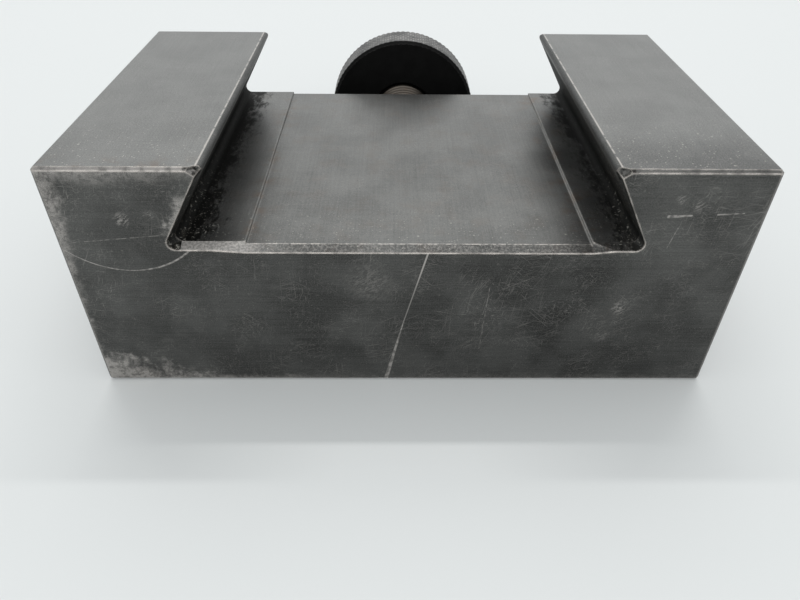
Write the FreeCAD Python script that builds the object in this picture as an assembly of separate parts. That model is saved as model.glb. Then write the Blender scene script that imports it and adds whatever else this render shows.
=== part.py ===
"""Dovetail tool holder for a quick change lathe tool post, modelled in millimetres.

The holder lies on its outer face with the dovetail slot open upwards. Its frame is that of the dovetail:
the origin is the middle of the slot's mouth, in the plane of the two jaw faces and halfway along the slot.
+X runs across the slot, +Y along it towards the end that carries the height nut, and +Z out of the mouth,
towards the tool post. In use +Y points up.

The pieces are the block, the height stud screwed into its top end, the knurled height nut and the lock nut
on the stud, and four socket set screws that clamp a tool in the slot of the outer face.
"""

import FreeCAD
import Part

import math
import os

from FreeCAD import Vector

# ---------------------------------------------------------------- driving dimensions
block_width = 88.5  # across the dovetail, along X
block_height = 52.6  # along the dovetail, along Y
block_thickness = 34.9  # from the jaw faces to the outer face, along Z
block_edge_chamfer = 0.4

mouth_width = 48.1  # between the jaws' inner corners, as if they were sharp
dovetail_depth = 11.0
flank_angle = 60.0  # between flank and floor, in degrees
jaw_edge_radius = 0.62
root_radius = 1.0
lead_in_length = 1.4  # tapered lead-in round the slot at the bottom end, which meets the post first
lead_in_rise = 0.5
lead_in_spread_left = 4.5  # at the bottom end the relief's two steps run out into slopes this wide
lead_in_spread_right = 3.0
lead_in_root_trim = 0.5  # the right flank's lead-in is steeper: its root lies this far in
deburr = 0.15  # broken edge round the slot at the top end
facet_across = 1.6  # small facet on each jaw's inner corner, at the bottom end
facet_along = 0.8
facet_down = 1.2

relief_width = 44.7  # shallow milled pocket along the slot's floor
relief_offset = 1.5  # from the slot's middle to the pocket's middle
relief_depth = 0.33

shelf_height = 12.0  # metal under the tool, at the bottom end
tool_slot_height = 16.5
tool_slot_depth = 16.0
tool_slot_radius = 0.8
tool_slot_chamfer = 0.5

screw_diameter = 10.0
screw_length = 30.0
screw_side_margin = 9.5  # from the block's side to the outer screws' axes
screw_inset = 8.0  # from the outer face to the screws' axes
screw_to_nut = 0.5  # between the inner screws and the height nut's rim, past each other
screw_tip_clearance = 0.5  # from the slot's roof up to the tips, at rest
screw_point_diameter = 7.0
screw_point_length = 2.0

stud_diameter = 11.1
stud_reach = 31.0  # from the block's top end to the stud's outer end
stud_floor_wall = 1.07  # metal between the dovetail's floor and the stud's hole
stud_end_wall = 3.2  # metal between the tool slot's roof and the point of the stud's hole
stud_hole_extra = 1.5  # full-width hole beyond the stud's inner end

nut_diameter = 28.7
nut_thickness = 6.75
nut_gap = 7.0  # from the block's top end to the nut, at rest
nut_chamfer = 0.5

lock_nut_flats = 17.5
lock_nut_thickness = 6.0

key_flats = 5.0  # hexagon socket in the stud and in the screws
key_depth = 5.0

thread_clearance = 0.05  # radial, between a screw's crests and its hole
face_clearance = 0.05  # between the two nuts
hole_countersink = 0.6
drill_point_angle = 118.0  # at the bottom of the stud's hole, in degrees
screw_end_chamfer = 1.0

# ---------------------------------------------------------------- places worked out from them
bottom_end = -block_height / 2
top_end = block_height / 2
outer_face = -block_thickness
half_mouth = mouth_width / 2
flank_run = dovetail_depth / math.tan(math.radians(flank_angle))
slot_roof = bottom_end + shelf_height + tool_slot_height
slot_floor = outer_face + tool_slot_depth
screw_axis_z = outer_face + screw_inset
stud_hole_radius = stud_diameter / 2 + thread_clearance
stud_axis_z = -dovetail_depth - relief_depth - stud_floor_wall - stud_hole_radius
stud_hole_tip = slot_roof + stud_end_wall
stud_hole_end = stud_hole_tip + stud_hole_radius * math.tan(math.radians(90 - drill_point_angle / 2))
stud_inner_end = stud_hole_end + stud_hole_extra
stud_outer_end = top_end + stud_reach
nut_face = top_end + nut_gap
lock_nut_face = nut_face + nut_thickness + face_clearance
overcut = 1.0  # how far a cutter runs past the face that it enters through

ALONG_Y = Vector(0, 1, 0)


# ---------------------------------------------------------------- helpers
def rounded_wire(corners, y):
    """A closed wire in the plane at y. Each corner is (x, z, radius), and a radius of 0 leaves it sharp."""
    ends = []
    count = len(corners)
    for i, (x, z, radius) in enumerate(corners):
        corner = Vector(x, y, z)
        before = Vector(corners[i - 1][0], y, corners[i - 1][1]) - corner
        after = Vector(corners[(i + 1) % count][0], y, corners[(i + 1) % count][1]) - corner
        if not radius:
            ends.append((corner, None, corner))
            continue
        before.normalize()
        after.normalize()
        half_angle = before.getAngle(after) / 2
        tangent = radius / math.tan(half_angle)
        inward = (before + after).normalize()
        middle = corner + inward * (radius / math.sin(half_angle) - radius)
        ends.append((corner + before * tangent, middle, corner + after * tangent))
    edges = []
    for i, (start, middle, end) in enumerate(ends):
        if middle is not None:
            edges.append(Part.Arc(start, middle, end).toShape())
        following = ends[(i + 1) % count][0]
        if end.distanceToPoint(following) > 1e-6:
            edges.append(Part.LineSegment(end, following).toShape())
    return Part.Wire(edges)


def prism_along_y(corners, y_from, y_to):
    return Part.Face(rounded_wire(corners, y_from)).extrude(Vector(0, y_to - y_from, 0))


def turned_along_y(stations, x, z):
    """A solid of revolution about an axis along Y, from (y, radius) stations in order."""
    points = [Vector(0, stations[0][0], 0)]
    points += [Vector(radius, y, 0) for y, radius in stations]
    points += [Vector(0, stations[-1][0], 0), points[0]]
    solid = Part.Face(Part.makePolygon(points)).revolve(Vector(0, 0, 0), ALONG_Y, 360)
    solid.translate(Vector(x, 0, z))
    return solid


def hexagon_along_y(across_flats, y_from, length, x, z):
    across_corners = across_flats / math.cos(math.pi / 6)
    corners = []
    for k in range(6):
        turn = math.radians(60 * k + 30)
        across_x = across_corners / 2 * math.cos(turn)
        across_z = across_corners / 2 * math.sin(turn)
        corners.append((x + across_x, z + across_z, 0))
    return prism_along_y(corners, y_from, y_from + length)


def export(shape, node):
    shape.removeSplitter().exportStep(f"parts/{node}.step")


# ---------------------------------------------------------------- the block
def dovetail_cutter():
    """The slot itself, with the jaws' rounded edges, the rounded roots and the shallow floor relief."""
    tangent = jaw_edge_radius / math.tan(math.radians(flank_angle / 2))
    lip = half_mouth + tangent
    root = half_mouth + flank_run
    relief_right = relief_offset + relief_width / 2
    relief_left = relief_offset - relief_width / 2
    corners = [
        (lip, overcut, 0),
        (lip, 0, 0),
        (half_mouth, 0, jaw_edge_radius),
        (root, -dovetail_depth, root_radius),
        (relief_right, -dovetail_depth, 0),
        (relief_right, -dovetail_depth - relief_depth, 0),
        (relief_left, -dovetail_depth - relief_depth, 0),
        (relief_left, -dovetail_depth, 0),
        (-root, -dovetail_depth, root_radius),
        (-half_mouth, 0, jaw_edge_radius),
        (-lip, 0, 0),
        (-lip, overcut, 0),
    ]
    return prism_along_y(corners, bottom_end - overcut, top_end + overcut)


def slot_section(grow, spread_left, spread_right, root_trim, y):
    """The slot's section at y, grown outwards, with the relief's steps spread into slopes."""
    slope = math.radians(flank_angle)
    floor = -dovetail_depth - grow
    side = half_mouth + grow / math.sin(slope)
    top_x = side - overcut / math.tan(slope)
    root_x = side - floor / math.tan(slope)
    relief_right = relief_offset + relief_width / 2
    relief_left = relief_offset - relief_width / 2
    corners = [
        (top_x, overcut, 0),
        (root_x - root_trim, floor, root_radius),
        (relief_right + spread_right, floor, 0),
        (relief_right, floor - relief_depth, 0),
        (relief_left, floor - relief_depth, 0),
        (relief_left - spread_left, floor, 0),
        (-root_x, floor, root_radius),
        (-top_x, overcut, 0),
    ]
    return rounded_wire(corners, y)


def tapered_end(end, inward, length, rise, spread_left=0.0, spread_right=0.0, root_trim=0.0):
    """Bevels the slot's edge at one end of the block, over a length and by a rise into the metal."""
    stretch = (length + overcut) / length
    at_end = [stretch * amount for amount in (rise, spread_left, spread_right, root_trim)]
    outer = slot_section(*at_end, end - inward * overcut)
    inner = slot_section(0, 0, 0, 0, end + inward * length)
    solid, ruled = True, True
    return Part.makeLoft([outer, inner], solid, ruled)


def corner_facet(side):
    """A plug that takes the small facet off a jaw's inner corner at the bottom end."""
    jaw_edge = half_mouth + jaw_edge_radius / math.tan(math.radians(flank_angle / 2))
    across = Vector(side * (jaw_edge + facet_across), bottom_end, 0)
    normal = Vector(-side / facet_across, -1 / facet_along, 1 / facet_down).normalize()
    size = 4 * (facet_across + facet_along + facet_down)
    face = Part.makePlane(size, size, Vector(-size / 2, -size / 2, 0))
    plug = face.extrude(Vector(0, 0, size))
    plug.Placement = FreeCAD.Placement(across, FreeCAD.Rotation(Vector(0, 0, 1), normal))
    return plug


def tool_slot_cutter():
    """The slot for the tool's shank, along X and open at the outer face, with a small lead-in."""
    y_low = bottom_end + shelf_height
    lip = tool_slot_chamfer
    corners = [
        Vector(0, y_low - lip - overcut, outer_face - overcut),
        Vector(0, y_low, outer_face + lip),
        Vector(0, y_low, slot_floor),
        Vector(0, slot_roof, slot_floor),
        Vector(0, slot_roof, outer_face + lip),
        Vector(0, slot_roof + lip + overcut, outer_face - overcut),
    ]
    length = block_width + 2 * overcut
    solid = Part.Face(Part.makePolygon(corners + corners[:1])).extrude(Vector(length, 0, 0))
    solid.translate(Vector(-length / 2, 0, 0))
    at_floor = [edge for edge in solid.Edges if abs(edge.CenterOfMass.z - slot_floor) < 1e-6]
    inner_corners = [edge for edge in at_floor if edge.Length > block_width]
    return solid.makeFillet(tool_slot_radius, inner_corners)


def threaded_hole(diameter, inner_y, x, z):
    """A plain hole at the thread's outside diameter, from inner_y out through the top end."""
    radius = diameter / 2 + thread_clearance
    mouth = radius + hole_countersink
    rim = top_end - hole_countersink
    stations = [(inner_y, radius), (rim, radius), (top_end, mouth), (top_end + overcut, mouth)]
    return turned_along_y(stations, x, z)


def stud_hole():
    tip = Vector(0, stud_hole_tip, stud_axis_z)
    drill_point = Part.makeCone(0, stud_hole_radius, stud_hole_end - stud_hole_tip, tip, ALONG_Y)
    return threaded_hole(stud_diameter, stud_hole_end, 0, stud_axis_z).fuse(drill_point)


def screw_places():
    """The screws' places along X: the inner two are just clear of the height nut's rim."""
    reach = nut_diameter / 2 + screw_diameter / 2 + screw_to_nut
    inner = math.sqrt(reach**2 - (screw_axis_z - stud_axis_z) ** 2)
    outer = block_width / 2 - screw_side_margin
    return [-outer, -inner, inner, outer]


def holder_body():
    corner = Vector(-block_width / 2, bottom_end, outer_face)
    block = Part.makeBox(block_width, block_height, block_thickness, corner)
    block = block.makeChamfer(block_edge_chamfer, block.Edges)
    block = block.cut(dovetail_cutter())
    spreads = (lead_in_spread_left, lead_in_spread_right, lead_in_root_trim)
    block = block.cut(tapered_end(bottom_end, 1, lead_in_length, lead_in_rise, *spreads))
    block = block.cut(tapered_end(top_end, -1, deburr, deburr))
    for side in (-1, 1):
        block = block.cut(corner_facet(side))
    block = block.cut(tool_slot_cutter())
    block = block.cut(stud_hole())
    for x in screw_places():
        block = block.cut(threaded_hole(screw_diameter, slot_roof - overcut, x, screw_axis_z))
    return block


# ---------------------------------------------------------------- screws and nuts
def height_stud():
    """Headless stud with chamfered ends and a hexagon socket in its outer end."""
    radius = stud_diameter / 2
    stations = [
        (stud_inner_end, radius - screw_end_chamfer),
        (stud_inner_end + screw_end_chamfer, radius),
        (stud_outer_end - screw_end_chamfer, radius),
        (stud_outer_end, radius - screw_end_chamfer),
    ]
    stud = turned_along_y(stations, 0, stud_axis_z)
    socket = hexagon_along_y(key_flats, stud_outer_end - key_depth, key_depth + overcut, 0, stud_axis_z)
    return stud.cut(socket)


def nut_bore(y_from, length, thread_diameter):
    """The cutter for a nut's thread, with a countersink at both faces."""
    radius = thread_diameter / 2 + thread_clearance
    wide = radius + hole_countersink
    y_to = y_from + length
    stations = [
        (y_from - overcut, wide),
        (y_from, wide),
        (y_from + hole_countersink, radius),
        (y_to - hole_countersink, radius),
        (y_to, wide),
        (y_to + overcut, wide),
    ]
    return turned_along_y(stations, 0, stud_axis_z)


def height_nut():
    """Round nut, knurled on its rim in use, with both rims chamfered."""
    radius = nut_diameter / 2
    y_to = nut_face + nut_thickness
    stations = [
        (nut_face, radius - nut_chamfer),
        (nut_face + nut_chamfer, radius),
        (y_to - nut_chamfer, radius),
        (y_to, radius - nut_chamfer),
    ]
    nut = turned_along_y(stations, 0, stud_axis_z)
    return nut.cut(nut_bore(nut_face, nut_thickness, stud_diameter))


def lock_nut():
    """Thin hexagon nut with its corners turned off at both faces."""
    nut = hexagon_along_y(lock_nut_flats, lock_nut_face, lock_nut_thickness, 0, stud_axis_z)
    corner_radius = lock_nut_flats / 2 / math.cos(math.pi / 6)
    flat_radius = lock_nut_flats / 2 * 0.98
    rise = (corner_radius - flat_radius) * math.tan(math.radians(30))
    y_to = lock_nut_face + lock_nut_thickness
    stations = [
        (lock_nut_face, flat_radius),
        (lock_nut_face + rise, corner_radius),
        (y_to - rise, corner_radius),
        (y_to, flat_radius),
    ]
    nut = nut.common(turned_along_y(stations, 0, stud_axis_z))
    return nut.cut(nut_bore(lock_nut_face, lock_nut_thickness, stud_diameter))


def clamp_screw(x):
    """Socket set screw with a flat dog point, drawn back clear of the tool slot."""
    radius = screw_diameter / 2
    tip = slot_roof + screw_tip_clearance
    outer = tip + screw_length
    point = screw_point_diameter / 2
    shoulder = tip + screw_point_length
    stations = [
        (tip, point),
        (shoulder, point),
        (shoulder + radius - point, radius),
        (outer - screw_end_chamfer, radius),
        (outer, radius - screw_end_chamfer),
    ]
    screw = turned_along_y(stations, x, screw_axis_z)
    socket = hexagon_along_y(key_flats, outer - key_depth, key_depth + overcut, x, screw_axis_z)
    return screw.cut(socket)


# ---------------------------------------------------------------- export
os.makedirs("parts", exist_ok=True)
export(holder_body(), "holder_body")
export(height_stud(), "height_stud")
export(height_nut(), "height_nut")
export(lock_nut(), "lock_nut")
for number, place in enumerate(screw_places(), start=1):
    export(clamp_screw(place), f"clamp_screw_{number}")
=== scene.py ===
# %% [markdown]
# # A dovetail tool holder
#
# A tool holder is the block that carries one cutting tool on a quick change post. It lies here on its
# outer face with the dovetail slot upwards. The block comes finished from the CAD model, so this lesson
# paints it and leaves its shape alone. The nut, stud, lock nut and screws come as plain shapes, and are
# modelled again here with their knurl and threads.
#
# Everything is in metres, in the CAD model's own frame: +X across the slot, +Y along it towards the nut,
# +Z out of the slot's mouth.

# %% Load the frame
import math

import bmesh
import bpy
from mathutils import Matrix, Vector


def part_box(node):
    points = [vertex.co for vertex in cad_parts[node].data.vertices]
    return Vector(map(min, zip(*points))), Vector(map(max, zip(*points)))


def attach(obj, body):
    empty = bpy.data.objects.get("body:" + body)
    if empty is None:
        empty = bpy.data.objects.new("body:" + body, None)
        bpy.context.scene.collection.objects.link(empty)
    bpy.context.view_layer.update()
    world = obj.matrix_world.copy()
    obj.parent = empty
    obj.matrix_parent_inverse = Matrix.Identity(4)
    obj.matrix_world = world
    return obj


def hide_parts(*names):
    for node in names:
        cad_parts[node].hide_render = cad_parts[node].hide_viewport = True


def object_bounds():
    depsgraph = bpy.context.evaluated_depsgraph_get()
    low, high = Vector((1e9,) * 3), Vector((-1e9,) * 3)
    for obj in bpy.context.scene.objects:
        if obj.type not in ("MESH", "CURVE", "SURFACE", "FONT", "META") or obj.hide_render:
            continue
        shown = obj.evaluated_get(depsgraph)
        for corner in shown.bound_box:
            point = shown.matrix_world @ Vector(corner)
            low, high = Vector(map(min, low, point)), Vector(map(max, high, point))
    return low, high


MM = 0.001
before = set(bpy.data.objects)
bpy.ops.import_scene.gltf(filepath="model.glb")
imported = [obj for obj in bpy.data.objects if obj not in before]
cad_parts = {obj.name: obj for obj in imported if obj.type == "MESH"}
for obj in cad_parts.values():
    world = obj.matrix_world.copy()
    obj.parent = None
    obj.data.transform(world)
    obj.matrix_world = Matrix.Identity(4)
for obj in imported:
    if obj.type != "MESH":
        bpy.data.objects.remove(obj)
bpy.ops.object.select_all(action="DESELECT")
cad_low, cad_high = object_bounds()
print("CAD box in mm:", [round(v / MM, 2) for v in (*cad_low, *cad_high)])

# %% [markdown]
# ## Camera
#
# The camera stands in front of the block's bottom end, a hand's breadth away, and looks down on it. A wide
# lens this close makes the near end look larger than the far one. It could be aimed with a Track To
# constraint, but three turns written out are easier to repeat: yaw about the upright axis, then pitch, then
# a little roll about the line of sight.

# %% Place the camera
camera_place = Vector((-1.99, -94.03, 35.11)) * MM
camera_yaw, camera_pitch, camera_roll = -0.857, 38.882, 0.659  # degrees, pitch below the horizon
camera_data = bpy.data.cameras.new("camera")
camera_data.lens = 28.914
camera_data.sensor_width = 36.0
camera_data.clip_start = 1 * MM
camera_data.clip_end = 20.0
camera = bpy.data.objects.new("camera", camera_data)
bpy.context.scene.collection.objects.link(camera)
yaw = Matrix.Rotation(math.radians(camera_yaw), 4, "Z")
pitch = Matrix.Rotation(math.radians(90 - camera_pitch), 4, "X")
roll = Matrix.Rotation(math.radians(camera_roll), 4, "Z")
camera.matrix_world = Matrix.Translation(camera_place) @ yaw @ pitch @ roll
bpy.context.scene.camera = camera
print("camera", [round(v, 4) for v in camera.location], "lens", camera_data.lens, "mm")

# %% [markdown]
# ## Nodes as arithmetic
#
# A finish is a sum of masks: where the oxide has worn off, where a scratch runs, where dust lies. Written
# with nodes alone that is hundreds of links, so one small class stands for a node's output. Adding or
# multiplying two of them adds a Math node, and every other node comes from its one method.

# %% The wire class
class Wire:
    """One output of a material's nodes, on which arithmetic adds Math nodes."""

    def __init__(self, tree, socket=None):
        self.tree = tree
        self.socket = socket

    def add(self, kind, settings=None, inputs=None, output=0):
        """Adds a node of any kind: its settings first, then its sockets' values or links."""
        node = self.tree.nodes.new(kind)
        for name, value in (settings or {}).items():
            setattr(node, name, value)
        for name, value in (inputs or {}).items():
            if isinstance(value, Wire):
                self.tree.links.new(value.socket, node.inputs[name])
            else:
                node.inputs[name].default_value = value
        return Wire(self.tree, node.outputs[output])

    def maths(self, operation, *values):
        return self.add("ShaderNodeMath", {"operation": operation}, dict(enumerate(values)))

    def __add__(self, other):
        return self.maths("ADD", self, other)

    def __radd__(self, other):
        return self.maths("ADD", other, self)

    def __sub__(self, other):
        return self.maths("SUBTRACT", self, other)

    def __rsub__(self, other):
        return self.maths("SUBTRACT", other, self)

    def __mul__(self, other):
        return self.maths("MULTIPLY", self, other)

    def __rmul__(self, other):
        return self.maths("MULTIPLY", other, self)

    def __truediv__(self, other):
        return self.maths("DIVIDE", self, other)

    def __pow__(self, other):
        return self.maths("POWER", self, other)

    def __abs__(self):
        return self.maths("ABSOLUTE", self)

    def least(self, other):
        return self.maths("MINIMUM", self, other)

    def most(self, other):
        return self.maths("MAXIMUM", self, other)

    def above(self, limit):
        return self.maths("GREATER_THAN", self, limit)

    def below(self, limit):
        return self.maths("LESS_THAN", self, limit)

    def ease(self, start, end):
        """0 at start and before it, 1 at end and beyond, smooth in between. End may be the lower one."""
        return self.add(
            "ShaderNodeMapRange",
            {"interpolation_type": "SMOOTHSTEP"},
            {"Value": self, "From Min": start, "From Max": end},
        )

    def paint(self, under, over):
        """The colour under, with the colour over laid on it where this mask is 1."""
        return self.add("ShaderNodeMix", {"data_type": "RGBA"}, {0: self, 6: under, 7: over}, 2)


# %% Patterns that several finishes share
def grey(level, warmth=0.0):
    """A steel colour: a grey level, warmer towards brown above 0 and cooler towards blue below."""
    return (level * (1 + warmth), level, level * (1 - warmth), 1.0)


def stretched(place, scale, turn=(0.0, 0.0, 0.0), shift=(0.0, 0.0, 0.0)):
    """The place in millimetres, turned by degrees and then scaled, for patterns longer one way."""
    turned = place.add(
        "ShaderNodeMapping",
        {},
        {"Vector": place, "Rotation": [math.radians(t) for t in turn], "Location": shift},
    )
    return place.add("ShaderNodeMapping", {}, {"Vector": turned, "Scale": scale})


def noise(place, scale=1.0, detail=2.0, roughness=0.5):
    sockets = {"Vector": place, "Scale": scale, "Detail": detail, "Roughness": roughness}
    return place.add("ShaderNodeTexNoise", {}, sockets)


def wandering(place, scale, amount_mm):
    """The place pushed about by up to the amount, so that lines laid on it bend a little."""
    drift = place.add("ShaderNodeTexNoise", {}, {"Vector": place, "Scale": scale, "Detail": 1.0}, "Color")
    push = {0: drift, 1: (amount_mm, amount_mm, amount_mm), 2: place}
    return place.add("ShaderNodeVectorMath", {"operation": "MULTIPLY_ADD"}, push)


def hairlines(place, turn, thick, long, share, shift):
    """Fine scratches along one direction: noise stretched out, of which only the top share is kept."""
    lines = noise(stretched(place, (1 / long, 1 / thick, 1 / thick), turn, shift), 1.0, 1.0)
    return lines.ease(1 - share, 1 - share + 0.07)


def specks(place, spacing, size, share):
    """Small round specks: points scattered at a spacing, of which the share nearest to white is kept."""
    settings = {"voronoi_dimensions": "3D", "feature": "F1"}
    sockets = {"Vector": place, "Scale": 1 / spacing, "Randomness": 1.0}
    distance = place.add("ShaderNodeTexVoronoi", settings, sockets, "Distance")
    colour = place.add("ShaderNodeTexVoronoi", settings, sockets, "Color")
    lottery = place.add("ShaderNodeSeparateColor", {}, {"Color": colour})
    return distance.ease(size / spacing, 0.5 * size / spacing) * lottery.above(1 - share)


def new_material(name):
    """An empty material with its Principled shader, and its surface place in millimetres as wires."""
    material = bpy.data.materials.new(name)
    material.use_nodes = True
    tree = material.node_tree
    tree.nodes.clear()
    shader = tree.nodes.new("ShaderNodeBsdfPrincipled")
    output = tree.nodes.new("ShaderNodeOutputMaterial")
    tree.links.new(shader.outputs["BSDF"], output.inputs["Surface"])
    metres = Wire(tree).add("ShaderNodeTexCoord", {}, {}, "Object")
    place = metres.add("ShaderNodeVectorMath", {"operation": "SCALE"}, {0: metres, "Scale": 1 / MM})
    return material, shader, place


def join(shader, **wires):
    """Links wires to the shader's sockets, named with underscores for spaces."""
    for name, wire in wires.items():
        wire.tree.links.new(wire.socket, shader.inputs[name.replace("_", " ")])


def axes(place):
    parts = place.add("ShaderNodeSeparateXYZ", {}, {0: place})
    return [Wire(place.tree, parts.socket.node.outputs[k]) for k in range(3)]


def rounded(place, radius_mm):
    """The surface's normal as if every edge had a small radius."""
    return place.add("ShaderNodeBevel", {"samples": 6}, {"Radius": radius_mm * MM})


def worn_edge(round_normal, low, high):
    """1 along the edges of a piece, where the rounded normal leaves the flat one."""
    flat = round_normal.add("ShaderNodeNewGeometry", {}, {}, "Normal")
    both = {0: round_normal, 1: flat}
    agree = flat.add("ShaderNodeVectorMath", {"operation": "DOT_PRODUCT"}, both, "Value")
    return (1 - agree).ease(low, high)


def bump(height, distance_mm, strength, round_normal):
    sockets = {"Height": height, "Distance": distance_mm * MM, "Strength": strength}
    return height.add("ShaderNodeBump", {}, {**sockets, "Normal": round_normal})


# %% [markdown]
# ## The block's finish
#
# The block is ground steel with a black oxide skin. The jaw faces and the slot's floor are painted lighter
# than the bottom end, partly as the polish of years of use and partly as painted light, which leaves the
# bottom end in painted shade. Use has also bared the metal along the bottom end's edges, and left oil,
# grime and pale dust in the slot's corners, which carry painted shade as well. Each of these is a mask
# worked out from the place on the block, so nothing depends on a UV map.
# The faces are told apart by where they lie: the bottom end is the lowest in Y, the jaw faces the highest
# in Z.

# %% Where each face of the block lies
block_low, block_high = (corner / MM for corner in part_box("holder_body"))
print("block in mm:", [round(v, 2) for v in (*block_low, *block_high)])
slot_floor_z, slot_root_x = -11.0, 30.4
slot_end_z, slot_end_x = -12.2, 31.5  # a little past the floor's relief and past the roots
mouth_half, lip_width = 24.05, 0.62
lead_in_length = 1.4
flank_slope = 1 / math.tan(math.radians(60))
relief_left, relief_right = -20.85, 23.85
lip_x = mouth_half + lip_width / math.tan(math.radians(30))  # where the jaw face meets its rounded edge
same_face = 0.02  # how near to a face's plane counts as on it

block_paint, block_shader, place = new_material("black_oxide_block")
x, y, z = axes(place)
on_bottom_end = y.below(block_low.y + same_face)
on_jaw_face = z.above(-same_face)
in_mouth = z.above(slot_end_z) * z.below(-same_face) * y.above(block_low.y + same_face)
in_mouth = in_mouth * y.below(block_high.y - same_face) * abs(x).below(slot_end_x)
on_floor = in_mouth * z.below(slot_floor_z + 0.05)
on_flank = in_mouth - on_floor
print("faces told apart by place:", "bottom end, jaw faces, floor, flanks")

# %% [markdown]
# ### Long marks that were made one by one
#
# A few scratches are large enough to know the block by. A scratch is a line between two points on the
# bottom end, and its mask is the distance to that line. The arc is part of a circle, as a scriber leaves it.

# %% Scratches on the bottom end
def scratch(start, end, width_start, width_end):
    """A scratch between two (x, z) points on the bottom end, in millimetres, that may widen."""
    run_x, run_z = end[0] - start[0], end[1] - start[1]
    along = ((x - start[0]) * run_x + (z - start[1]) * run_z) / (run_x**2 + run_z**2)
    along = along.most(0.0).least(1.0)
    off_x = x - start[0] - along * run_x
    off_z = z - start[1] - along * run_z
    distance = (off_x * off_x + off_z * off_z) ** 0.5
    width = width_start + along * (width_end - width_start)
    return (distance / width).ease(1.0, 0.45)


frayed = noise(place, 1.6, 3.0).ease(0.38, 0.62)
long_scratch = scratch((2.65, -11.5), (-0.5, -23.6), 0.16, 0.09) * (0.55 + 0.45 * z.ease(-19.0, -14.0))
lower_part = scratch((-0.5, -23.6), (-3.0, -34.9), 0.09, 0.42) * (0.35 + 0.65 * frayed)
long_scratch = long_scratch.most(lower_part)
arc_middle_x, arc_middle_z, arc_radius = -35.7, -3.2, 11.45
arc_distance = ((x - arc_middle_x) ** 2 + (z - arc_middle_z) ** 2) ** 0.5 - arc_radius
arc = (abs(arc_distance) / (0.10 + 0.07 * x.ease(-36.0, -31.0))).ease(1.0, 0.4) * z.below(-11.3)
short_marks = scratch((32.0, -6.25), (34.8, -6.1), 0.30, 0.16) * (0.15 + 0.75 * frayed)
for start, end, width_start, width_end, least_seen, gain in (
    ((38.0, -5.95), (41.2, -5.75), 0.16, 0.10, 0.1, 0.6),
    ((33.6, -7.9), (33.0, -10.9), 0.09, 0.05, 0.2, 0.5),
    ((11.0, -17.4), (10.5, -28.5), 0.07, 0.05, 0.1, 0.4),
    ((-42.6, -10.4), (-30.4, -9.2), 0.09, 0.07, 0.05, 0.4),
):
    mark = scratch(start, end, width_start, width_end) * (least_seen + gain * frayed)
    short_marks = short_marks.most(mark)
strokes = noise(stretched(place, (1.6, 5.0, 5.0), (0, 35, 0)), 1.0, 3.0, 0.7).ease(0.47, 0.60)


def scuff(middle, size):
    """A small rubbed spot at an (x, z) point of the bottom end, made of short strokes."""
    off = ((x - middle[0]) ** 2 + (z - middle[1]) ** 2) ** 0.5
    return off.ease(size, 0.15 * size) * strokes


scuffs = scuff((-35.2, -7.0), 1.5).most(scuff((29.2, -20.8), 1.8)).most(scuff((35.3, -4.6), 1.3) * 0.8)
scuffs = scuffs.most(scuff((33.0, -3.9), 1.0) * 0.8).most(scuff((-31.8, -6.3), 1.0) * 0.7)
scuffs = scuffs.most(scuff((27.5, -26.0), 1.6) * 0.5).most(scuff((-5.0, -16.5), 4.5) * 0.45)
marks = long_scratch.most(arc * (0.3 + 0.6 * frayed)).most(short_marks).most(scuffs * 0.6) * on_bottom_end
print("marks drawn one by one: a long scratch, an arc, short scratches and scuffs")

# %% [markdown]
# ### Grinding lines and hairlines
#
# Grinding leaves close lines across the bottom end, and handling adds fine scratches in every direction.
# Both are noise squeezed one way and drawn out the other. The hairlines are laid on a place that wanders a
# little, so that they bend, and they gather in some spots and leave others clear.

# %% Lines over the surface
grinding = noise(stretched(place, (0.10, 9.0, 9.0)), 1.0, 3.0, 0.75)
lengthwise = noise(stretched(place, (5.0, 0.08, 5.0)), 1.0, 3.0, 0.6)
bent = wandering(place, 0.05, 4.0)
hair = hairlines(bent, (0, 14, 0), 0.08, 14.0, 0.34, (3, 1, 7))
for turn, thick, long, share, shift in (
    ((0, 86, 0), 0.08, 16.0, 0.34, (9, 4, 2)),
    ((0, 66, 0), 0.08, 11.0, 0.33, (2, 8, 6)),
    ((0, -38, 0), 0.08, 10.0, 0.33, (5, 8, 1)),
    ((0, 31, 0), 0.07, 9.0, 0.33, (7, 2, 5)),
    ((0, -9, 0), 0.08, 18.0, 0.33, (4, 3, 8)),
    ((0, 0, 72), 0.12, 6.0, 0.28, (2, 6, 4)),
):
    hair = hair.most(hairlines(bent, turn, thick, long, share, shift))
gather = noise(place, 0.2, 3.0).ease(0.36, 0.66)
hair = hair * (0.12 + 0.88 * gather)
mottle = noise(place, 0.11, 4.0, 0.55)
grain = noise(place, 3.2, 3.0, 0.6)
fine_grain = noise(place, 6.5, 2.0, 0.6)
print("grinding lines run across, slot lines run along")

# %% [markdown]
# ### Where the metal is bare
#
# Bare metal shows as a broad, frayed band down the left of the bottom end and under the left jaw's edge, as
# a patch at the lower left corner, and as a thin line on the other edges. The Bevel node finds every edge
# by itself; the bands are distances to the block's own sides, roughened with noise. The slot's lip and the
# end of its lead-in get a thin bright line of their own.

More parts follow.
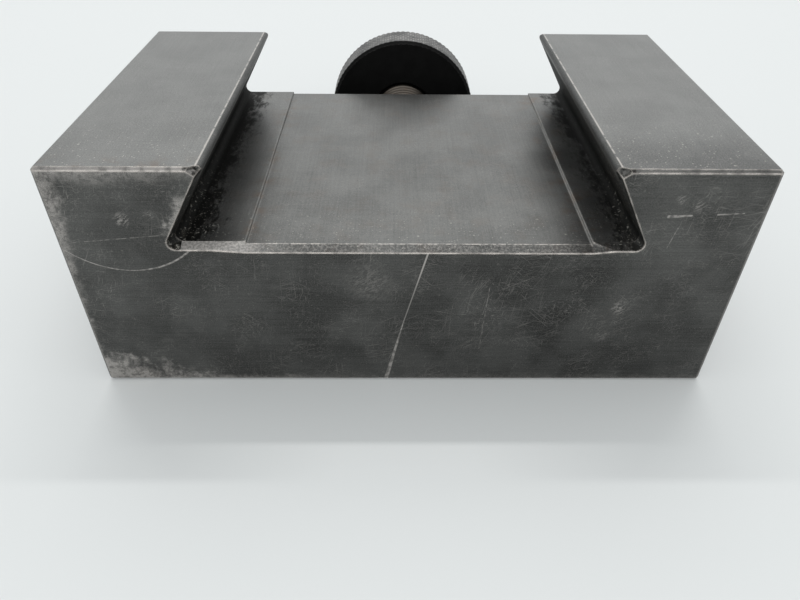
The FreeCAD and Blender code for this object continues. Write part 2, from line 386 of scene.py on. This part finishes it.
# %% Worn bands and edges
fray = noise(place, 0.55, 5.0, 0.62)
from_left = x - block_low.x
from_right = block_high.x - x
from_under = z - block_low.z
from_jaw = 0 - z
pitted = noise(place, 1.7, 4.0, 0.65).ease(0.36, 0.56)
left_width = 0.1 + 1.5 * z.ease(-19.0, -6.0)
left_band = (from_left + (fray - 0.5) * 4.5 - left_width).ease(1.3, -1.1)
jaw_band = (from_jaw + (fray - 0.5) * 3.0).ease(2.6, 0.1)
jaw_band = jaw_band * x.below(-24.0) * (0.4 + 0.6 * x.ease(-24.0, -40.0))
corner = (0.8 * from_under + 0.3 * from_left + (fray - 0.5) * 10.0).ease(6.0, 2.4) * 1.4
under_band = (from_under + (fray - 0.5) * 3.0).ease(1.5, 0.1) * (0.3 + 0.7 * x.ease(-8.0, -26.0))
right_band = (from_right + (fray - 0.5) * 0.5).ease(0.55, 0.3)
from_flank = (abs(x) - mouth_half - 0.5 + z * flank_slope) * math.sin(math.radians(60))
flank_patch = (from_flank + (fray - 0.5) * 5.0).ease(1.2, 0.2) * z.ease(-3.2, -4.6)
flank_patch = flank_patch * z.ease(-9.6, -8.8) * x.below(0.0)
bands = left_band.most(jaw_band).most(corner).most(under_band).most(right_band * 0.6).most(flank_patch)
bands = bands * on_bottom_end * (0.4 + 0.6 * pitted) * (0.6 + 0.4 * fine_grain.ease(0.35, 0.6)) * 0.85

block_round = rounded(place, 0.36)
every_edge = worn_edge(block_round, 0.004, 0.045)
near_slot = abs(x).ease(31.5, 30.8) * z.above(-12.4)
at_bottom_end = y.below(block_low.y + 0.5)
slot_edges = near_slot * (0.45 + 0.55 * at_bottom_end)
edge_share = 0.28 + 0.72 * slot_edges.most(at_bottom_end * z.above(-0.6))
edge_share = edge_share.most(at_bottom_end * 0.4)
relief_step = on_floor * y.above(block_low.y + 1.6)
edge_share = edge_share * (1 - relief_step * (0.95 - 0.3 * x.above(0.0)))
lip_line = abs(abs(x) - lip_x).ease(0.15, 0.04) * z.above(-0.06) * fray.ease(0.38, 0.5) * 0.6
inner_line = abs(y - block_low.y - lead_in_length).ease(0.13, 0.03)
inner_line = inner_line * z.below(-10.9) * x.above(-21.5) * x.below(25.0)
edges = every_edge * edge_share * (0.35 + 0.65 * fray.ease(0.35, 0.6))
edges = edges.most(lip_line).most(inner_line * frayed * 0.45 * in_mouth)
front_chamfer = at_bottom_end * z.above(-0.7) * (1 - on_bottom_end) * (1 - on_jaw_face)
front_chamfer = front_chamfer * (0.2 + 0.5 * x.below(0.0)) * (0.4 + 0.6 * fray.ease(0.36, 0.55))
bare = bands.most(marks).most(hair * 0.33).most(front_chamfer)
print("worn bands: left, jaw, corner, underside, right, flank")

# %% [markdown]
# ### Dirt, painted shade, dust and rust
#
# Oil and swarf collect where the floor meets the flanks. Those corners and the undercut flanks under the
# jaws are painted nearly black, partly as that grime and partly as painted shade of the jaws' overhang.
# Pale dust sits on that, and on the jaws close to the bottom end. A little rust tints the steps beside the
# relief.

# %% Dirt, painted shade and dust masks
from_root = slot_root_x - abs(x)
creep = noise(place, 0.35, 4.0, 0.6) - 0.5
clump = noise(stretched(place, (1.3, 0.5, 1.3)), 1.0, 4.0, 0.7)
# Painted shade: the floor darkens towards the roots, partly grime and partly the shade under the jaws.
root_dirt_and_shade = on_floor * (from_root + creep * 6.0 + (clump - 0.5) * 9.0 + x.above(0.0) * 1.2).ease(5.8, 2.6)
# Painted shade: the undercut flanks darken deeper under the jaws, partly grime as well.
flank_dirt_and_shade = on_flank * z.ease(-0.8, -3.0)
lead_in = in_mouth * y.below(block_low.y + lead_in_length)
lead_in_floor = lead_in * z.below(-10.6) * x.above(-29.0) * x.below(27.0)
facet_spot = y.below(block_low.y + 1.1) * z.above(-1.75) * abs(x).ease(26.7, 26.4) * abs(x).above(23.6)
facet_spot = facet_spot * (1 - on_bottom_end) * (1 - on_jaw_face)
# This mask is grime and painted shade together.
dirt_and_shade = root_dirt_and_shade.most(flank_dirt_and_shade * (1 - 0.35 * lead_in)).most(facet_spot * (0.85 - 0.6 * frayed))
dirt_and_shade = dirt_and_shade * (1 - lead_in_floor)
dust_here = (on_jaw_face * y.ease(-6.0, -26.0) * 0.8).most(on_floor * y.ease(-8.0, -25.0) * 0.45)
flecks = noise(place, 1.9, 3.0, 0.6).ease(0.60, 0.68) * dirt_and_shade * y.ease(4.0, -22.0)
dust = specks(place, 0.36, 0.11, 0.2).most(specks(place, 1.5, 0.20, 0.3)) * dust_here.most(0.10)
dust = dust.most(flecks * 0.5)
dust_film = clump.ease(0.50, 0.66) * dirt_and_shade * y.ease(-6.0, -24.0) * fine_grain.ease(0.35, 0.6)
by_steps = abs(x - relief_right).ease(4.5, 0.5).most(abs(x - relief_left).ease(2.0, 0.3))
rust_here = on_floor * by_steps
rust_here = rust_here.most(on_jaw_face * x.below(-24) * y.ease(-22.0, -26.0) * 0.9).most(on_floor * 0.25)
rust = rust_here * noise(place, 0.28, 4.0, 0.65).ease(0.48, 0.68)
print("dirt in the slot's corners, dust near the bottom end, rust by the steps")

# %% Put the block's finish together
tone = 0.056 + 0.034 * mottle.ease(0.35, 0.65) + 0.07 * (grinding - 0.5) + 0.12 * (fine_grain - 0.5)
outer_gain = 0.012 * abs(x).ease(18.0, 36.0)
inner_loss = 0.012 * x.ease(6.0, 20.0) * z.ease(-11.0, -15.0)
tone = tone + on_bottom_end * (outer_gain - inner_loss)
# Painted light: the jaw faces here, and the slot's floor on the next line, are painted lighter than the
# bottom end, partly as polish from use. The right jaw face is darker towards the bottom end.
tone = tone + on_jaw_face * (0.096 - 0.055 * y.ease(-12.0, -25.0) * x.above(0.0) + 0.10 * (grain - 0.5))
tone = tone + on_floor * 0.07 - lead_in_floor * (0.06 - 0.06 * x.ease(-12.0, -22.0))
tone = tone + (on_jaw_face + on_floor) * 0.06 * (lengthwise - 0.5) + on_jaw_face * 0.12 * (fine_grain - 0.5)
oxide = tone.add("ShaderNodeCombineColor", {}, {"Red": tone, "Green": tone * 1.005, "Blue": tone * 0.965})
colour = bare.paint(oxide, grey(0.37, 0.055))
colour = (rust * 0.4).paint(colour, (0.15, 0.095, 0.06, 1.0))
# Near-black paint for grime and painted shade in the slot's roots and on its flanks.
colour = (dirt_and_shade * (0.95 - 0.07 * x.above(0.0))).paint(colour, (0.005, 0.005, 0.004, 1.0))
colour = (dust_film * 0.5).paint(colour, (0.13, 0.12, 0.10, 1.0))
pale_end = lead_in_floor * x.ease(-18.0, -22.0)
speckle = grain.ease(0.42, 0.66) * 0.22 + pale_end * (0.35 + 0.35 * grain.ease(0.40, 0.62))
colour = (lead_in_floor * speckle).paint(colour, grey(0.42, 0.06))
colour = (edges * 0.85).paint(colour, grey(0.58, 0.08))
colour = (dust * 0.8).paint(colour, (0.56, 0.54, 0.48, 1.0))
rough = 0.44 + 0.14 * (mottle - 0.5) + 0.12 * (grain - 0.5) - on_floor * 0.05 - on_jaw_face * 0.04
rough = rough + dirt_and_shade * 0.25 + dust * 0.3 - bare.most(edges) * 0.06
height = grinding * 0.2 + grain * 0.25 - marks * 1.0 - hair * 0.3 + dust * 1.2 + dirt_and_shade * clump * 2.0
join(
    block_shader,
    Base_Color=colour,
    Roughness=rough,
    Metallic=0.94 - dust.most(pale_end * 0.8) * 0.9,
    Normal=bump(height, 0.012, 0.8, block_round),
)
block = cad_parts["holder_body"]
block.data.materials.clear()
block.data.materials.append(block_paint)
print("block painted with", len(block_paint.node_tree.nodes), "nodes")

# %% [markdown]
# ## Modelling the turned pieces
#
# The nut, the stud, the lock nut and the screws are all round about an axis along the slot. Each is
# modelled standing upright at the origin, where primitives come, and is laid down at its place at the very
# end. The same few hand movements serve all of them: select by place, draw a profile by extruding a point,
# spin it, cut one solid with another.

# %% Hands for modelling
def only(piece):
    """Leaves this piece alone selected, and active."""
    bpy.ops.object.select_all(action="DESELECT")
    piece.select_set(True)
    bpy.context.view_layer.objects.active = piece


def fresh(name):
    """The primitive that was just added, named, with nothing else selected."""
    piece = bpy.context.object
    piece.name = piece.data.name = name
    only(piece)
    return piece


def choose(piece, kind, test):
    """In edit mode, selects the vertices, edges or faces whose middle and normal pass the test."""
    bpy.ops.mesh.select_mode(type=kind)
    bpy.ops.mesh.select_all(action="DESELECT")
    shape = bmesh.from_edit_mesh(piece.data)
    chosen = 0
    for item in {"VERT": shape.verts, "EDGE": shape.edges, "FACE": shape.faces}[kind]:
        if kind == "VERT":
            middle, normal = item.co, item.normal
        elif kind == "EDGE":
            middle = (item.verts[0].co + item.verts[1].co) / 2
            normal = (item.verts[1].co - item.verts[0].co).normalized()
        else:
            middle, normal = item.calc_center_median(), item.normal
        if test(middle, normal):
            item.select_set(True)
            chosen += 1
    shape.select_flush_mode()
    bmesh.update_edit_mesh(piece.data)
    return chosen


def draw_profile(name, stations):
    """A line of points at (radius, height) stations: one point is moved to the first and extruded on."""
    bpy.ops.mesh.primitive_plane_add(size=MM)
    piece = fresh(name)
    bpy.ops.object.mode_set(mode="EDIT")
    bpy.ops.mesh.select_mode(type="VERT")
    bpy.ops.mesh.select_all(action="SELECT")
    bpy.ops.mesh.merge(type="CENTER")
    bpy.ops.transform.translate(value=(stations[0][0], 0, stations[0][1]))
    for (radius, height), (next_radius, next_height) in zip(stations, stations[1:]):
        step = (next_radius - radius, 0, next_height - height)
        bpy.ops.mesh.extrude_vertices_move(TRANSFORM_OT_translate={"value": step})
    bpy.ops.object.mode_set(mode="OBJECT")
    return piece


def tidy_solid(piece):
    """Merges points that lie together and turns every face outwards."""
    only(piece)
    bpy.ops.object.mode_set(mode="EDIT")
    bpy.ops.mesh.select_all(action="SELECT")
    bpy.ops.mesh.remove_doubles(threshold=0.002 * MM)
    bpy.ops.mesh.normals_make_consistent(inside=False)
    bpy.ops.object.mode_set(mode="OBJECT")


def turned(name, stations, steps=64):
    """A turned solid: the profile starts and ends on the axis, and is spun once round it."""
    piece = draw_profile(name, stations)
    bpy.ops.object.mode_set(mode="EDIT")
    bpy.ops.mesh.select_all(action="SELECT")
    bpy.ops.mesh.spin(steps=steps, angle=math.tau, center=(0, 0, 0), axis=(0, 0, 1))
    bpy.ops.object.mode_set(mode="OBJECT")
    tidy_solid(piece)
    return piece


def combine(piece, tool, operation):
    """Cuts or trims a piece with another solid, which is then used up."""
    only(piece)
    modifier = piece.modifiers.new("combine", "BOOLEAN")
    modifier.object = tool
    modifier.operation = operation
    modifier.solver = "EXACT"
    bpy.ops.object.modifier_apply(modifier=modifier.name)
    bpy.data.objects.remove(tool)


def hexagon(name, across_flats, foot, top):
    """A six-sided bar from foot to top, with two corners along Y."""
    bpy.ops.mesh.primitive_cylinder_add(
        vertices=6,
        radius=across_flats / 2 / math.cos(math.pi / 6),
        depth=top - foot,
        location=(0, 0, (foot + top) / 2),
    )
    piece = fresh(name)
    bpy.ops.object.transform_apply(location=True, rotation=True, scale=True)
    return piece


def lay_down(piece, low, high, smooth_degrees=32):
    """Turns an upright piece onto its axis along Y and moves it to its place in the frame."""
    only(piece)
    radii = [math.hypot(v.co.x, v.co.y) / MM for v in piece.data.vertices]
    piece.data.attributes.new("radius", "FLOAT", "POINT").data.foreach_set("value", radii)
    piece.rotation_euler = (-math.pi / 2, 0, 0)
    piece.location = ((low.x + high.x) / 2, low.y, (low.z + high.z) / 2)
    bpy.ops.object.transform_apply(location=True, rotation=True, scale=True)
    bpy.ops.object.shade_smooth_by_angle(angle=math.radians(smooth_degrees))
    faces = len(piece.data.polygons)
    box = [round(v / MM, 2) for v in (*piece.bound_box[0], *piece.bound_box[6])]
    print(f"{piece.name}: {faces} faces, box {box}")


# %% [markdown]
# ## Threads
#
# A screw thread is one tooth carried up a helix. The Screw modifier does that: the tooth's outline is drawn
# once, one pitch tall, and each turn lifts it by one pitch, so the turns join end to end. The coil is made
# too long and cut off flat at both ends. A turned blank with the chamfers, the point and the hexagon
# socket then trims it, just as a real screw's end is turned before it is threaded.

# %% A threaded coil
thread_depth = 0.6134  # of a 60 degree thread, as a share of its pitch
overlap = 1.9  # pitches of coil below 0, to be cut off


def threaded_coil(name, crest_radius, pitch, length, steps=40):
    """A thread of 60 degrees about Z, from a little below 0 to a little above its length."""
    spare = 0.5 * MM
    depth = thread_depth * pitch
    flank = depth * math.tan(math.radians(30))
    crest = pitch / 8
    root_radius = crest_radius - depth
    root = pitch - crest - 2 * flank
    tooth = [
        (root_radius, 0),
        (root_radius, root),
        (crest_radius, root + flank),
        (crest_radius, root + flank + crest),
        (root_radius, pitch),
    ]
    coil = draw_profile(name, tooth)
    helix = coil.modifiers.new("helix", "SCREW")
    helix.axis = "Z"
    helix.angle = math.tau
    helix.screw_offset = pitch
    helix.iterations = math.ceil(length / pitch) + 4
    helix.steps = helix.render_steps = steps
    helix.use_merge_vertices = True
    helix.merge_threshold = 0.002 * MM
    bpy.ops.object.modifier_apply(modifier=helix.name)
    bpy.ops.object.mode_set(mode="EDIT")
    bpy.ops.mesh.select_all(action="SELECT")
    bpy.ops.mesh.remove_doubles(threshold=0.002 * MM)
    bpy.ops.transform.translate(value=(0, 0, -overlap * pitch))
    for height, outwards in ((-spare, -1), (length + spare, 1)):
        bpy.ops.mesh.select_all(action="SELECT")
        bpy.ops.mesh.bisect(
            plane_co=(0, 0, height), plane_no=(0, 0, outwards), use_fill=True, clear_outer=True
        )
    bpy.ops.object.mode_set(mode="OBJECT")
    tidy_solid(coil)
    return coil


def hexagon_socket(screw, across_flats, depth, mouth):
    """Sinks a hexagon socket with a drilled cone at its bottom into the end at the height mouth."""
    corner_radius = across_flats / 2 / math.cos(math.pi / 6)
    combine(screw, hexagon("socket", across_flats, mouth - depth, mouth + 2 * MM), "DIFFERENCE")
    drill_radius = across_flats / 2 * 0.98
    cone = [
        (0, mouth - depth - drill_radius * 0.5),
        (drill_radius, mouth - depth),
        (drill_radius, mouth - depth / 2),
        (0, mouth - depth / 2),
    ]
    combine(screw, turned("drill", cone, 36), "DIFFERENCE")
    bevel = [(0, mouth - 0.45 * MM), (corner_radius - 0.25 * MM, mouth - 0.45 * MM)]
    bevel += [(corner_radius + 0.6 * MM, mouth + 0.4 * MM), (0, mouth + 0.4 * MM)]
    combine(screw, turned("countersink", bevel, 48), "DIFFERENCE")


# %% [markdown]
# ## The height stud
#
# The stud is a length of threaded rod, screwed into the top end of the block. It has a hexagon socket in
# its outer end, a chamfer at both ends, and a 20 per inch thread.

# %% Model the stud
inch = 25.4 * MM
stud_low, stud_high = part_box("height_stud")
stud_radius = (stud_high.x - stud_low.x) / 2
stud_length = stud_high.y - stud_low.y
end_chamfer = 1.0 * MM
key_flats, key_depth = 5.0 * MM, 5.0 * MM
stud = threaded_coil("threaded_stud", stud_radius, inch / 20, stud_length)
roomy = stud_radius + 1 * MM
blank = turned(
    "stud_blank",
    [
        (0, 0),
        (stud_radius - end_chamfer, 0),
        (roomy, end_chamfer + 1 * MM),
        (roomy, stud_length - end_chamfer - 1 * MM),
        (stud_radius - end_chamfer, stud_length),
        (0, stud_length),
    ],
)
combine(stud, blank, "INTERSECT")
hexagon_socket(stud, key_flats, key_depth, stud_length)
tidy_solid(stud)
lay_down(stud, stud_low, stud_high, 28)
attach(stud, "holder")
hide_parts("height_stud")

# %% [markdown]
# ## The clamp screws
#
# Four socket set screws press the tool onto the bottom of its slot. Each has a plain round point, which
# can spread a little under load without jamming in the thread. One screw is modelled, and copied with its
# own mesh for the other three.

# %% Model one screw and copy it
screw_names = [f"clamp_screw_{k}" for k in (1, 2, 3, 4)]
screw_low, screw_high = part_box(screw_names[0])
screw_radius = (screw_high.x - screw_low.x) / 2
screw_length = screw_high.y - screw_low.y
point_radius, point_length = 3.5 * MM, 2.0 * MM
roomy = screw_radius + 1 * MM
master = threaded_coil("threaded_screw", screw_radius, 1.5 * MM, screw_length)
blank = turned(
    "screw_blank",
    [
        (0, 0),
        (point_radius - 0.3 * MM, 0),
        (point_radius, 0.3 * MM),
        (point_radius, point_length),
        (screw_radius - end_chamfer, point_length),
        (roomy, point_length + end_chamfer + 1 * MM),
        (roomy, screw_length - end_chamfer - 1 * MM),
        (screw_radius - end_chamfer, screw_length),
        (0, screw_length),
    ],
)
combine(master, blank, "INTERSECT")
hexagon_socket(master, key_flats, key_depth, screw_length)
tidy_solid(master)
screws = []
for k, name in enumerate(screw_names):
    screw = master.copy()
    screw.data = master.data.copy()
    screw.name = screw.data.name = f"threaded_screw_{k + 1}"
    bpy.context.scene.collection.objects.link(screw)
    only(screw)
    screw.data.transform(Matrix.Rotation(math.radians(23 + 71 * k), 4, "Z"))
    lay_down(screw, *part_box(name), 28)
    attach(screw, name)
    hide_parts(name)
    screws.append(screw)
bpy.data.objects.remove(master)

# %% [markdown]
# ## The height nut
#
# The round nut sets how high the holder hangs, and is turned with the fingers, so its rim is knurled in
# small diamonds. The rim starts as a fine grid. Every second point, as on a draughtboard, is drawn in
# towards the axis, and each square is then split along the line between its two low points, which leaves
# a pyramid at every high one.

# %% Model the knurled rim
nut_low, nut_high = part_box("height_nut")
nut_radius = (nut_high.x - nut_low.x) / 2
nut_thickness = nut_high.y - nut_low.y
nut_chamfer, nut_flare = 0.5 * MM, 0.7 * MM
bore_radius = stud_radius + 0.05 * MM
nut_bore = bore_radius + 0.05 * MM  # it keeps a trace of the knurl's ripple, so it needs more room
knurl_points, knurl_rows, knurl_depth = 180, 11, 0.13 * MM
band = nut_thickness - 2 * nut_chamfer
bpy.ops.mesh.primitive_cylinder_add(
    vertices=knurl_points, radius=nut_radius, depth=band, location=(0, 0, nut_thickness / 2)
)
nut = fresh("knurled_nut")
bpy.ops.object.transform_apply(location=True, rotation=True, scale=True)
bpy.ops.object.mode_set(mode="EDIT")
choose(nut, "EDGE", lambda middle, along: abs(along.z) > 0.9)
bpy.ops.mesh.subdivide(number_cuts=knurl_rows - 1)


def is_low_point(point, _):
    across = round(math.atan2(point.y, point.x) / math.tau * knurl_points)
    up = round((point.z - nut_chamfer) / band * knurl_rows)
    return (across + up) % 2 == 1


low_points = choose(nut, "VERT", is_low_point)
shrink = 1 - knurl_depth / nut_radius
bpy.ops.transform.resize(value=(shrink, shrink, 1), center_override=(0, 0, 0))
choose(nut, "FACE", lambda middle, normal: abs(normal.z) < 0.5)
bpy.ops.mesh.quads_convert_to_tris(quad_method="SHORTEST_DIAGONAL")
print("knurl:", low_points, "low points round the rim")

# %% Chamfer the rim and bore the hole
for side in (1, -1):
    choose(nut, "FACE", lambda middle, normal: normal.z * side > 0.9)
    steps = [
        (nut_chamfer, (nut_radius - nut_chamfer) / nut_radius),
        (0, (nut_bore + nut_flare) / (nut_radius - nut_chamfer)),
        (-nut_flare, nut_bore / (nut_bore + nut_flare)),
    ]
    for rise, scale in steps:
        bpy.ops.mesh.extrude_region_move(TRANSFORM_OT_translate={"value": (0, 0, rise * side)})
        bpy.ops.transform.resize(value=(scale, scale, 1), center_override=(0, 0, 0))
choose(nut, "FACE", lambda middle, normal: abs(normal.z) > 0.9 and middle.xy.length < MM)
bpy.ops.mesh.bridge_edge_loops()
bpy.ops.object.mode_set(mode="OBJECT")
tidy_solid(nut)
lay_down(nut, nut_low, nut_high, 24)
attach(nut, "height_nut")
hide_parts("height_nut")

# %% [markdown]
# ## The lock nut
#
# A thin hexagon nut holds the round one where it is set. Its corners are turned off at 30 degrees on both
# sides, which leaves the curved edges that every nut has. That is the shape that a hexagon bar and a
# turned disc have in common, so one trims the other.

# %% Model the lock nut
lock_low, lock_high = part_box("lock_nut")
lock_flats = lock_high.x - lock_low.x
lock_thickness = lock_high.y - lock_low.y
lock_nut = hexagon("hexagon_nut", lock_flats, -MM, lock_thickness + MM)
bpy.ops.object.mode_set(mode="EDIT")
choose(lock_nut, "EDGE", lambda middle, along: abs(along.z) > 0.9)
bpy.ops.mesh.bevel(offset=0.15 * MM, segments=2)
bpy.ops.object.mode_set(mode="OBJECT")
face_radius = lock_flats / 2 * 0.95
rim_radius = lock_flats / 2 / math.cos(math.pi / 6) + 0.2 * MM
rim_drop = (rim_radius - face_radius) * math.tan(math.radians(30))
disc = turned(
    "disc",
    [
        (0, 0),
        (face_radius, 0),
        (rim_radius, rim_drop),
        (rim_radius, lock_thickness - rim_drop),
        (face_radius, lock_thickness),
        (0, lock_thickness),
    ],
    96,
)
combine(lock_nut, disc, "INTERSECT")
flare = 0.8 * MM
hole = [
    (0, -MM),
    (bore_radius + flare + MM, -MM),
    (bore_radius + flare, 0),
    (bore_radius, flare),
    (bore_radius, lock_thickness - flare),
    (bore_radius + flare, lock_thickness),
    (bore_radius + flare + MM, lock_thickness + MM),
    (0, lock_thickness + MM),
]
combine(lock_nut, turned("hole", hole, 64), "DIFFERENCE")
tidy_solid(lock_nut)
lay_down(lock_nut, lock_low, lock_high, 24)
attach(lock_nut, "lock_nut")
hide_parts("lock_nut")

# %% [markdown]
# ## Finishes of the small pieces
#
# The nuts and screws share the block's black skin, with bare steel on crests and corners, where fingers,
# keys and threads rub. Each piece was given the distance of every point from its own axis, so a finish can
# tell a crest from a root. The round nut's face and chamfer towards the block are painted much darker than
# its rim, as painted shade.
# The stud has no skin: it is oiled steel, brown in its roots.

# %% Paint the small pieces
def small_black(name, crest_mm, crest_wear, level, edge_radius, rub, painted_shade_y=-99.0):
    """Black oxide, bare where the distance from the axis reaches the crest, with painted shade before the
    given Y.
    """
    material, shader, place = new_material(name)
    radius = place.add("ShaderNodeAttribute", {"attribute_name": "radius"}, {}, "Fac")
    mottle = noise(place, 0.45, 4.0, 0.6)
    grain = noise(place, 3.5, 3.0, 0.6)
    crest = radius.ease(crest_mm - 0.10, crest_mm - 0.01) * mottle.ease(0.30, 0.62) * crest_wear
    round_normal = rounded(place, edge_radius)
    rubbed = worn_edge(round_normal, 0.012, 0.09) * grain.ease(0.35, 0.62) * rub
    bare = crest.most(rubbed).least(1.0)
    # Painted shade: everything before the given Y is painted darker; on the round nut that is its face
    # towards the block.
    painted_shade = axes(place)[1].below(painted_shade_y)
    skin = level * (1 - 0.9 * painted_shade)
    tone = skin * (0.7 + 0.9 * (mottle - 0.2) + 0.35 * (grain - 0.5))
    oxide = tone.add("ShaderNodeCombineColor", {}, {"Red": tone, "Green": tone, "Blue": tone * 0.98})
    join(
        shader,
        Base_Color=bare.paint(oxide, grey(0.36, 0.05)),
        Roughness=0.42 + 0.2 * (grain - 0.5) - bare * 0.08 + painted_shade * 0.2,
        Normal=bump(grain, 0.01, 0.6, round_normal),
    )
    shader.inputs["Metallic"].default_value = 0.95
    return material


# The round nut's face and chamfer towards the block are painted darker, as painted shade.
shaded_face_y = nut_low.y / MM + 0.55  # just past the chamfer
nut_paint = small_black("black_oxide_nut", nut_radius / MM, 1.0, 0.11, 0.12, 0.25, shaded_face_y)
lock_paint = small_black("black_oxide_lock_nut", 99.0, 0.0, 0.06, 0.25, 0.75)
screw_paint = small_black("black_oxide_screw", screw_radius / MM, 0.45, 0.055, 0.12, 0.6)
nut.data.materials.append(nut_paint)
lock_nut.data.materials.append(lock_paint)
for screw in screws:
    screw.data.materials.append(screw_paint)

stud_paint, stud_shader, stud_place = new_material("oiled_steel_stud")
stud_distance = stud_place.add("ShaderNodeAttribute", {"attribute_name": "radius"}, {}, "Fac")
stud_mottle = noise(stud_place, 0.5, 4.0, 0.6)
stud_grain = noise(stud_place, 4.0, 3.0, 0.6)
crown = stud_distance.ease(stud_radius / MM - 0.55, stud_radius / MM - 0.05)
stud_colour = (crown * (0.6 + 0.4 * stud_mottle)).paint(grey(0.02, 0.22), grey(0.07, 0.14))
stud_colour = (stud_mottle.ease(0.55, 0.75) * 0.5).paint(stud_colour, (0.06, 0.042, 0.03, 1.0))
join(
    stud_shader,
    Base_Color=stud_colour,
    Roughness=0.36 + 0.25 * (stud_grain - 0.5) + 0.12 * (1 - crown),
    Normal=bump(stud_grain, 0.01, 0.5, rounded(stud_place, 0.08)),
)
stud_shader.inputs["Metallic"].default_value = 0.95
stud.data.materials.append(stud_paint)
print("small pieces painted:", ", ".join(m.name for m in (nut_paint, lock_paint, screw_paint, stud_paint)))

# %% [markdown]
# ## Floor and light
#
# The floor is one plain pale sheet. A long narrow lamp high behind the block throws its short shadow
# forwards, and a wide soft lamp further back gives the jaw faces and the floor of the slot their sheen. A
# third, large and soft, stands in front and lights the bottom end. The world adds an even, cool fill.

# %% Floor and lamps
bpy.ops.mesh.primitive_plane_add(size=6.0, location=(0, 0, cad_low.z))
table = bpy.context.object
table.name = "table"
bpy.ops.object.transform_apply(location=True, rotation=True, scale=True)
table_paint = bpy.data.materials.new("pale_table")
table_paint.use_nodes = True
table_shader = table_paint.node_tree.nodes["Principled BSDF"]
table_shader.inputs["Base Color"].default_value = (0.705, 0.72, 0.712, 1.0)
table_shader.inputs["Roughness"].default_value = 0.6
table.data.materials.append(table_paint)


def lamp(name, place, target, width, depth, watts, tint=(1.0, 1.0, 1.0)):
    """An area lamp at a place in metres, turned to face a target."""
    light = bpy.data.lights.new(name, "AREA")
    light.shape = "RECTANGLE"
    light.size, light.size_y = width, depth
    light.energy = watts
    light.color = tint
    holder = bpy.data.objects.new(name, light)
    bpy.context.scene.collection.objects.link(holder)
    holder.location = place
    aim = (Vector(target) - Vector(place)).to_track_quat("-Z", "Y")
    holder.rotation_euler = aim.to_euler()


lamp("long_lamp", (0.0, 0.68, 1.35), (0, 0, 0), 1.3, 0.05, 5.6)
lamp("front_lamp", (0.0, -1.1, 0.8), (0, 0, 0), 1.6, 0.8, 7.0)
lamp("wide_lamp", (0.0, 1.5, 1.0), (0, 0, 0), 2.6, 1.2, 6.2, (1.0, 1.0, 0.99))
world = bpy.data.worlds.new("room")
bpy.context.scene.world = world
world.use_nodes = True
world.node_tree.nodes["Background"].inputs["Color"].default_value = (0.95, 0.98, 1.0, 1.0)
world.node_tree.nodes["Background"].inputs["Strength"].default_value = 0.74
bpy.context.scene.view_settings.view_transform = "Standard"
